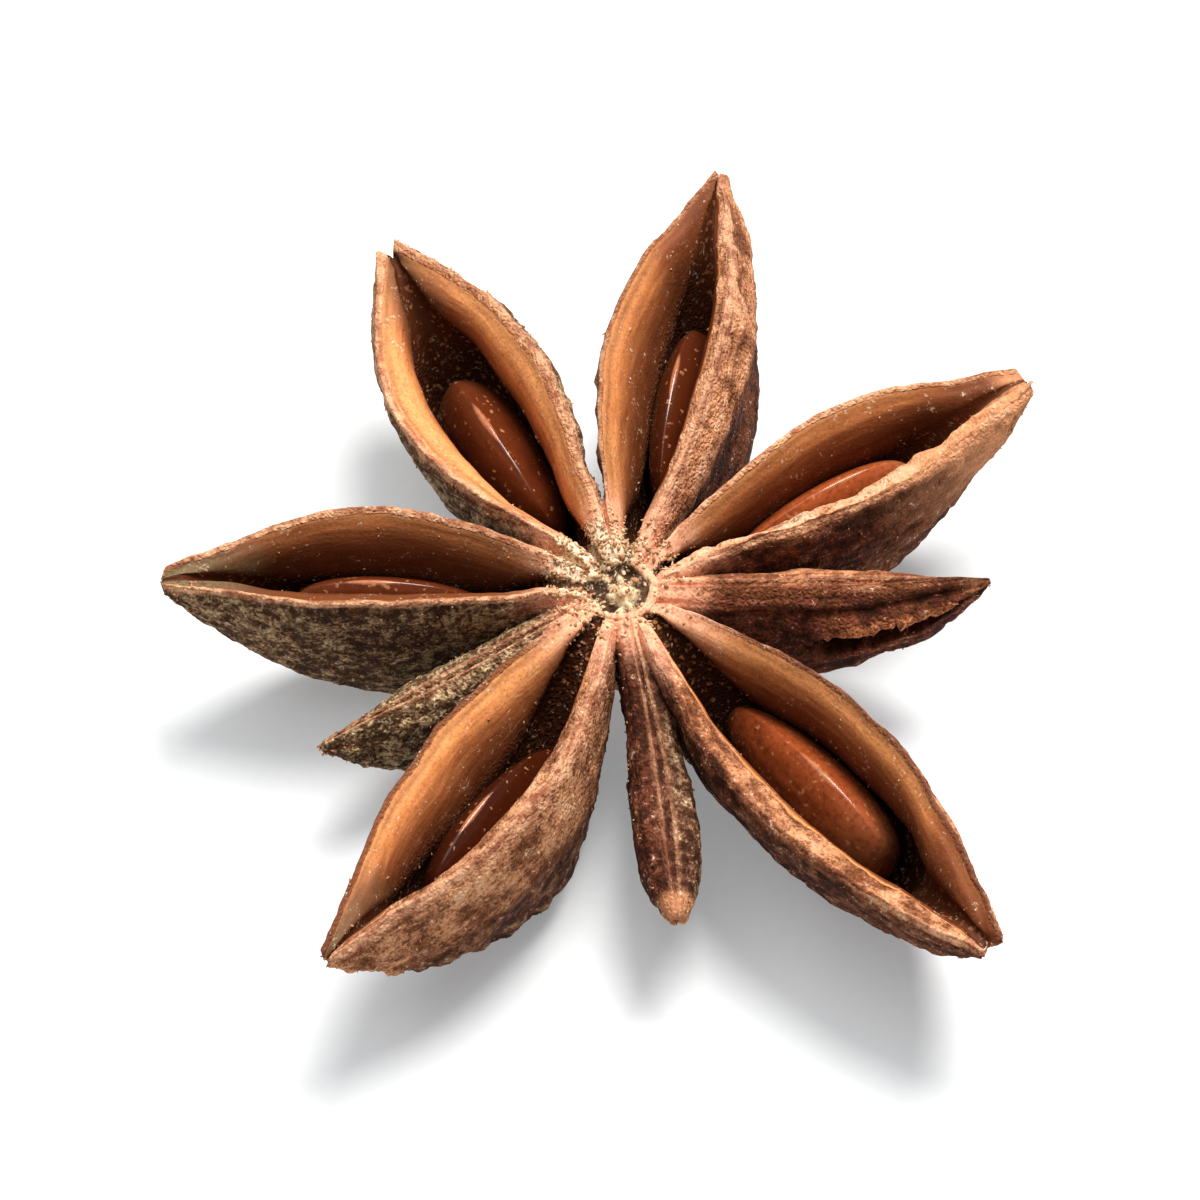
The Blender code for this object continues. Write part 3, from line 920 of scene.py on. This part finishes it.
# Colours, linear
# WALL_DARK is the wall's own darkest brown and also its painted shade; WALL_PALE is partly a painted highlight.
WALL_DARK = (0.038, 0.012, 0.0055)
WALL_BROWN = (0.22, 0.072, 0.027)
WALL_TAN = (0.72, 0.31, 0.145)
WALL_PALE = (0.92, 0.6, 0.4)
WALL_RED = (0.22, 0.055, 0.028)
BLOOM_DARK = (0.06, 0.033, 0.015)
BLOOM_PALE = (0.62, 0.45, 0.24)
MIST = (0.19, 0.15, 0.075)
# A band: painted highlight at its crest, its own tan and brown, painted shade deep in the hollow.
BAND_HIGHLIGHT = (0.85, 0.355, 0.125)
BAND_TAN = (0.76, 0.27, 0.085)
BAND_BROWN = (0.27, 0.077, 0.024)
BAND_SHADE = (0.11, 0.027, 0.008)
CHAMBER_SHADE = (0.06, 0.015, 0.005)
CHAMBER_GRAIN = (0.5, 0.19, 0.07)
EDGE_RED = (0.3, 0.095, 0.048)
EDGE_PALE = (0.78, 0.41, 0.225)
MAROON = (0.15, 0.022, 0.016)
EDGE_RUST = (0.13, 0.035, 0.018)
TORN_TAN = (0.88, 0.33, 0.12)
TORN_HOLE_SHADE = (0.02, 0.006, 0.003)
HUB_PALE = (0.8, 0.6, 0.36)
HUB_DARK = (0.04, 0.022, 0.01)
KNUCKLE_BROWN = (0.52, 0.2, 0.11)
KNUCKLE_PINK = (0.92, 0.46, 0.28)
DUST_BROWN = (0.3, 0.18, 0.09)
DUST = (0.9, 0.75, 0.52)


def husk_material():
    paint = Paint("husk")
    mix, step, times, plus, field = paint.mix, paint.step, paint.times, paint.plus, paint.field
    places, grain = paint.places(), paint.vector("grain")
    relief_height = field("relief")
    inside, down, along = field("inside"), field("down"), field("along")
    scoop = field("scoop")
    mottle = paint.noise(places, 1.6, 2.0)
    medium = paint.noise(places, 0.5, 4.0, 0.6)
    fine = paint.noise(places, 0.12, 3.0, 0.65)
    streaks = paint.noise(paint.stretch(grain, (0.25, 1.6, 1.0)), 0.5, 4.0, 0.6)
    grains = paint.cracks(places, 0.2)
    spots = paint.spots(places, 0.14)

    # The outer wall: reddish brown, with painted shade in its folds and under the lip and a painted highlight
    # on what stands out.
    streaked, blotched = step(streaks, 0.36, 0.62), step(medium, 0.38, 0.62)
    speckled, mottled = step(fine, 0.35, 0.65), step(mottle, 0.38, 0.6)
    tone = paint.blend((step(relief_height, -0.1, 0.12), 0.28), (blotched, 0.14), (streaked, 0.2),
                       (mottled, 0.24), (speckled, 0.1), (field("light"), 0.28), (field("below"), -0.4))
    tone = plus(tone, 0.08)
    wall = mix(step(tone, 0.05, 0.55), WALL_DARK, WALL_BROWN)
    wall = mix(times(step(medium, 0.42, 0.6), 0.5), wall, WALL_RED)
    wall = mix(times(field("rust"), times(blotched, 0.3)), wall, MAROON)
    wall = mix(step(tone, 0.5, 0.98), wall, WALL_TAN)
    wall = mix(times(step(tone, 0.9, 1.2), 0.6), wall, WALL_PALE)
    # Dark pits: painted shade in small hollows, placed by noise.
    pit_shade = step(paint.stir(fine, medium, 0.8), 0.54, 0.3)
    wall = mix(times(pit_shade, 0.6), wall, WALL_DARK)

    # Grey-green bloom in grains on it, with a painted highlight on its raised grains.
    bloomed = plus(times(medium, 0.55), times(mottle, 0.4))
    bloomed = plus(times(field("green"), 0.95), bloomed)
    bloomed = step(bloomed, 0.75, 1.3)
    speckle = plus(times(spots, 0.25), plus(times(fine, 0.7), times(medium, 0.8)))
    speckle = plus(speckle, times(step(relief_height, -0.05, 0.1), 0.15))
    speckle = mix(step(speckle, 0.82, 1.17), BLOOM_DARK, BLOOM_PALE)
    wall = mix(times(bloomed, 0.75), wall, speckle)

    # The band inside a lip: smooth, streaked along its length, with a painted highlight on its crest and painted
    # shade towards its foot, in its crease and in the scoop.
    foot = paint.stir(inside, streaks, 0.55)
    foot = plus(foot, times(scoop, 0.36))
    foot = plus(foot, times(step(along, 0.4, 0.15), -0.32))
    foot = plus(foot, times(field("dark"), 0.25))
    band = mix(step(foot, 0.45, 0.12), BAND_TAN, BAND_HIGHLIGHT)
    band = mix(step(foot, 0.22, 0.7), band, BAND_BROWN)
    band = mix(step(foot, 0.54, 0.94), band, BAND_SHADE)
    band = mix(times(blotched, 0.2), band, BAND_BROWN)
    band = mix(times(step(fine, 0.5, 0.36), 0.4), band, BAND_BROWN)
    # Painted shade on a band turned away from the light, and in the crease beside its edge.
    band = mix(times(field("dark"), 0.8), band, BAND_SHADE)
    band = mix(times(field("crease"), 0.6), band, BAND_SHADE)
    misty = times(field("bloom"), step(plus(along, times(mottle, 0.2)), 0.8, 1.1))
    band = mix(times(misty, step(fine, 0.2, 0.6)), band, MIST)
    # The chamber's floor is painted shade with pale grains; past the seed the scoop takes the band's painted shade.
    chamber = mix(step(plus(spots, times(fine, 0.3)), 1.0, 1.15), CHAMBER_SHADE, CHAMBER_GRAIN)
    deep = step(paint.stir(inside, medium, 0.35), 0.95, 1.1)
    chamber = mix(times(scoop, 0.5), chamber, BAND_SHADE)
    colour = mix(step(inside, 0.01, 0.04), wall, mix(deep, band, chamber))

    # The lip's thin edge, the sutures, the tear, the knuckles and the column.
    edge = paint.blend((blotched, 0.5), (speckled, 0.25), (streaked, 0.4))
    edge = mix(step(edge, 0.1, 1.05), EDGE_RED, EDGE_PALE)
    edge = mix(field("rust"), edge, EDGE_RUST)
    edged = step(paint.stir(field("near_edge"), medium, 0.4), 0.1, 0.5)
    colour = mix(times(edged, 0.85), colour, edge)
    colour = mix(times(field("suture"), 0.75), colour, edge)
    # The pale tip is palest on what stands out: a painted highlight on its folds.
    raised = plus(paint.blend((step(relief_height, -0.06, 0.1), 0.3), (speckled, 0.2), (streaked, 0.25)), 0.25)
    colour = mix(times(field("pale"), raised), colour, WALL_TAN)
    torn = mix(step(fine, 0.35, 0.62), WALL_RED, TORN_TAN)
    colour = mix(step(field("torn"), 0.35, 0.8), colour, torn)
    # Painted shade in the hole of the east carpel's torn wall.
    fallen = times(field("dark"), step(inside, 0.02, 0.0))
    colour = mix(fallen, colour, TORN_HOLE_SHADE)
    knuckle = times(step(along, 0.22, 0.05), step(down, 1.1, 0.3))
    knuckle = times(knuckle, step(inside, 0.95, 0.6))
    pink = mix(step(plus(fine, medium), 0.75, 1.1), KNUCKLE_BROWN, KNUCKLE_PINK)
    colour = mix(times(knuckle, 0.9), colour, pink)
    # The column's grains: pale tops and dark pits, partly their own colour, partly painted shade in the pits.
    crumb = plus(relief_height, times(fine, 0.45))
    crumb = mix(step(crumb, 0.07, 0.34), HUB_DARK, HUB_PALE)
    colour = mix(times(field("crumbly"), 0.95), colour, crumb)
    dusted = paint.stir(field("dusty"), fine, 2.2)
    dusted = paint.stir(dusted, medium, 1.8)
    powder = mix(step(plus(spots, fine), 0.45, 1.0), DUST_BROWN, DUST)
    colour = mix(times(step(dusted, 0.3, 0.8), 0.85), colour, powder)

    smoothness = paint.math("MAXIMUM", step(inside, 1.02, 0.85), scoop)
    smoothness = times(smoothness, step(inside, 0.03, 0.1))
    smoothness = times(smoothness, step(edged, 0.7, 0.3))
    roughness = plus(0.88, times(smoothness, -0.32))
    rough_bump = plus(times(fine, 0.6), times(grains, 1.2))
    rough_bump = times(rough_bump, plus(1.0, times(knuckle, -0.7)))
    bump_height = plus(times(rough_bump, plus(1.0, times(smoothness, -0.88))),
                             times(times(streaks, smoothness), 0.35))
    paint.set(Base_Color=colour, Roughness=roughness, Normal=paint.bump(bump_height, 0.1, 1.0))
    paint.set(Specular_IOR_Level=0.1)
    return paint.material


def seed_material():
    paint = Paint("seed")
    mix, step, times, plus, field = paint.mix, paint.step, paint.times, paint.plus, paint.field
    places, grain = paint.places(), paint.vector("grain")
    mottle = paint.noise(places, 1.4, 2.0)
    fine = paint.noise(places, 0.2, 3.0)
    streaks = paint.noise(paint.stretch(grain, (0.2, 1.0, 1.0)), 0.35, 3.0)
    specks = plus(paint.spots(places, 0.13), times(fine, 0.3))
    ridge = field("ridge")
    # Paler on top and darker down the sides by the height share: painted light and shade, stirred by mottles and
    # streaks.
    tone = plus(plus(ridge, times(mottle, 0.5)), times(streaks, 0.6))
    colour = mix(step(tone, 0.95, 1.6), (0.07, 0.011, 0.0035), (0.34, 0.07, 0.018))
    # The outer end is paler: partly its own colour, partly a painted sheen.
    colour = mix(times(field("outer"), 0.5), colour, (0.46, 0.14, 0.055))
    # Painted shade on a seed that lies deep, partly its own darker coat.
    colour = mix(field("dark"), colour, (0.04, 0.007, 0.002))
    # A painted highlight along the top of the ridge.
    colour = mix(step(ridge, 1.0, 1.015), colour, (0.4, 0.14, 0.06))
    colour = mix(times(step(fine, 0.52, 0.36), 0.35), colour, (0.06, 0.01, 0.003))
    colour = mix(times(step(specks, 1.11, 1.16), 0.6), colour, (0.5, 0.22, 0.1))
    roughness = plus(0.08, times(fine, 0.1))
    paint.set(Base_Color=colour, Roughness=roughness, Normal=paint.bump(plus(fine, streaks), 0.008, 0.6))
    paint.set(Specular_IOR_Level=0.12, Coat_Weight=0.42, Coat_Roughness=0.05)
    return paint.material


def crumb_material():
    paint = Paint("crumbs")
    shade = paint.field("shade")
    colour = paint.mix(paint.step(shade, 0.1, 0.5), (0.45, 0.18, 0.075), (0.52, 0.3, 0.15))
    colour = paint.mix(paint.step(shade, 0.5, 1.0), colour, (0.8, 0.62, 0.4))
    fine = paint.noise(paint.places(), 0.05, 2.0)
    paint.set(Base_Color=colour, Roughness=0.85, Normal=paint.bump(fine, 0.02, 0.8))
    return paint.material


def floor_material():
    paint = Paint("floor")
    places = paint.places()
    fibre = paint.noise(places, 0.5, 4.0)
    colour = paint.mix(fibre, (0.58, 0.59, 0.595), (0.62, 0.625, 0.63))
    paint.set(Base_Color=colour, Roughness=0.7, Emission_Color=colour, Emission_Strength=0.42)
    return paint.material


# ---------------------------------------------------------------- the object


def dress():
    """Puts the husk and the seeds in place of the solids."""
    skin, places, normals, fields = husk_mesh()
    husk = linked("husk", skin)
    husk.data.materials.clear()
    husk.data.materials.append(husk_material())
    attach(husk, "root")
    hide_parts("pod")
    crumbs = crumbs_object(places, normals, fields)
    crumbs.data.materials.append(crumb_material())
    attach(crumbs, "root")
    glossy = seed_material()
    for carpel in CARPELS:
        if carpel.seed:
            seed = seed_object(carpel)
            seed.data.materials.append(glossy)
            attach(seed, "root")
            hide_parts("seed_" + carpel.name)


# ---------------------------------------------------------------- the stage, in metres

FLOOR_SIZE = 4.0
VIEW_ELEVATION = math.radians(56)
VIEW_DISTANCE = 0.32
VIEW_WIDTH = 0.043
SENSOR = 36.0
# place, size, power and colour of each lamp
KEY = ((0.125, 0.21, 0.53), 0.3, 5.3, (1, 0.985, 0.96))
OVERHEAD = ((-0.1, 0.1, 0.8), 0.9, 4.0, (0.97, 0.99, 1))
ROOM_COLOUR, ROOM_STRENGTH = (0.95, 0.97, 1, 1), 0.22


def aim(made, target):
    """Turns a lamp or a camera to look at a point."""
    made.rotation_euler = (Vector(target) - made.location).to_track_quat("-Z", "Y").to_euler()


def area_light(name, place, size, power, colour):
    lamp = bpy.data.lights.new(name, "AREA")
    lamp.shape = "DISK"
    lamp.size = size
    lamp.energy = power
    lamp.color = colour
    made = linked(name, lamp)
    made.location = place
    aim(made, (0, 0, 0))


def stage():
    scene = bpy.context.scene
    floor = mesh_object("floor", np.array([(-1, -1, 0), (1, -1, 0), (1, 1, 0), (-1, 1, 0)]) * FLOOR_SIZE / 2 / MM,
                        [(0, 1, 2, 3)])
    floor.data.materials.append(floor_material())

    low, high = (Vector(corner) for corner in CAD_BOX)
    target = (low + high) / 2
    camera = linked("camera", bpy.data.cameras.new("camera"))
    away = Vector((0, -math.cos(VIEW_ELEVATION), math.sin(VIEW_ELEVATION)))
    camera.location = target + VIEW_DISTANCE * away
    aim(camera, target)
    camera.data.sensor_width = SENSOR
    camera.data.lens = SENSOR * VIEW_DISTANCE / VIEW_WIDTH
    camera.data.clip_start = 0.01
    scene.camera = camera

    area_light("key", *KEY)
    area_light("overhead", *OVERHEAD)
    world = bpy.data.worlds.new("room")
    world.use_nodes = True
    background = world.node_tree.nodes["Background"].inputs
    background["Color"].default_value = ROOM_COLOUR
    background["Strength"].default_value = ROOM_STRENGTH
    scene.world = world
    scene.view_settings.view_transform = "Standard"


dress()
stage()
